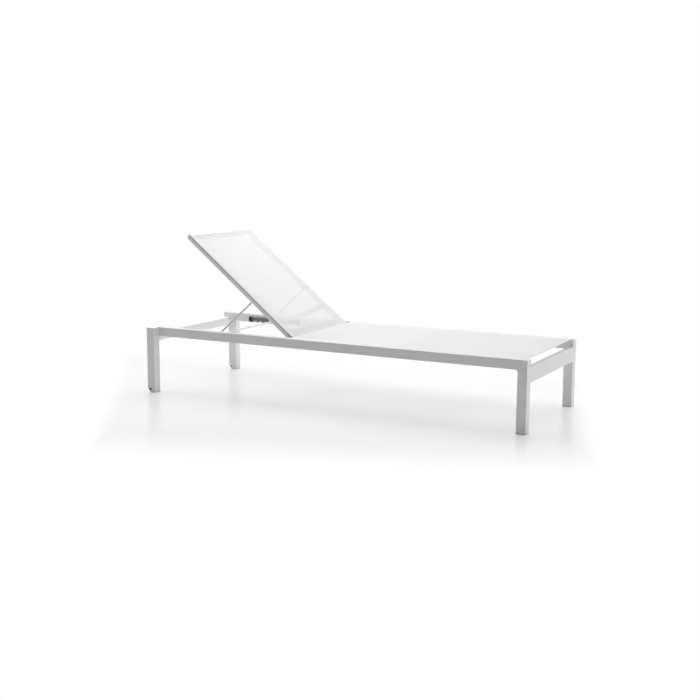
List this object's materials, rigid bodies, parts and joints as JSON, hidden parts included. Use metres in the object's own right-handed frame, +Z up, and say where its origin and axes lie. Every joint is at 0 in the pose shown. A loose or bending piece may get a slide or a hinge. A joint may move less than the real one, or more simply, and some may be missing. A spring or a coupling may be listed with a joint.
{
  "type": "sun lounger",
  "caption": "Low white sun lounger with a mesh sling seat and a tilting mesh backrest held by a rod prop in toothed racks, with transport wheels in the head legs.",
  "frame": {"origin": "on the floor under the middle of the frame", "axes": "+X from the head end to the foot end, +Y to a lying person's left, +Z up"},
  "size_m": [2, 0.7924, 0.8027],
  "materials": {
    "white_frame": "satin white powder coat",
    "sling_mesh": "open white coated-yarn mesh",
    "black_plastic": "moulded, matt black",
    "grey_plastic": "moulded, pale grey",
    "edge_cord": "extruded flexible cord",
    "steel": "stainless fasteners",
    "wheel_rubber": "matt black tread"
  },
  "bodies": {
    "frame": {"right_side_rail": "white_frame", "left_side_rail": "white_frame", "right_rail_head_cap": "white_frame", "left_rail_head_cap": "white_frame", "right_rail_foot_cap": "white_frame", "left_rail_foot_cap": "white_frame", "right_head_leg": "white_frame", "left_head_leg": "white_frame", "right_head_leg_cap": "white_frame", "left_head_leg_cap": "white_frame", "right_head_foot": "grey_plastic", "left_head_foot": "grey_plastic", "right_wheel_pin": "black_plastic", "left_wheel_pin": "black_plastic", "right_foot_leg": "white_frame", "left_foot_leg": "white_frame", "right_foot_glide": "grey_plastic", "left_foot_glide": "grey_plastic", "right_rack_housing": "black_plastic", "left_rack_housing": "black_plastic", "right_rack": "white_frame", "left_rack": "white_frame", "right_seat_edge_cord": "edge_cord", "left_seat_edge_cord": "edge_cord", "right_hinge_bolt": "steel", "left_hinge_bolt": "steel", "right_hinge_spacer": "black_plastic", "left_hinge_spacer": "black_plastic", "head_cross_rail": "white_frame", "foot_cross_rail": "white_frame", "hinge_spreader": "white_frame", "middle_spreader": "white_frame", "rack_screws": "steel", "channel_plugs": "grey_plastic", "seat_sling": "sling_mesh"},
    "backrest": {"right_back_side_tube": "white_frame", "left_back_side_tube": "white_frame", "right_back_top_cap": "white_frame", "left_back_top_cap": "white_frame", "right_back_tail_cap": "white_frame", "left_back_tail_cap": "white_frame", "right_back_edge_cord": "edge_cord", "left_back_edge_cord": "edge_cord", "right_hinge_bush": "grey_plastic", "left_hinge_bush": "grey_plastic", "right_prop_bolt": "steel", "left_prop_bolt": "steel", "right_prop_spacer": "black_plastic", "left_prop_spacer": "black_plastic", "back_top_tube": "white_frame", "back_bottom_tube": "white_frame", "back_bowed_tube": "white_frame", "back_sling": "sling_mesh"},
    "prop": {"right_prop_arm": "white_frame", "left_prop_arm": "white_frame", "right_prop_sleeve": "black_plastic", "left_prop_sleeve": "black_plastic", "prop_bar": "white_frame"},
    "right_wheel_body": {"right_wheel": "wheel_rubber"},
    "left_wheel_body": {"left_wheel": "wheel_rubber"}
  },
  "joints": [
    {"name": "backrest_tilt", "type": "hinge", "parent": "frame", "child": "backrest", "pos_m": [-0.221, 0, 0.3162], "axis": [0, 1, 0], "range_deg": [-38.45, 19.5]},
    {"name": "prop_swing", "type": "hinge", "parent": "backrest", "child": "prop", "pos_m": [-0.44811, 0, 0.49653], "axis": [0, 1, 0], "range_deg": [-39.01, 76.86]},
    {"name": "right_wheel_spin", "type": "hinge", "parent": "frame", "child": "right_wheel_body", "pos_m": [-0.983, -0.3725, 0.0165], "axis": [0, 1, 0], "continuous": true},
    {"name": "left_wheel_spin", "type": "hinge", "parent": "frame", "child": "left_wheel_body", "pos_m": [-0.983, 0.3725, 0.0165], "axis": [0, 1, 0], "continuous": true}
  ],
  "couplings": [
    {"joint": "prop_swing", "follows": "backrest_tilt", "ratio": -1.9978}
  ]
}
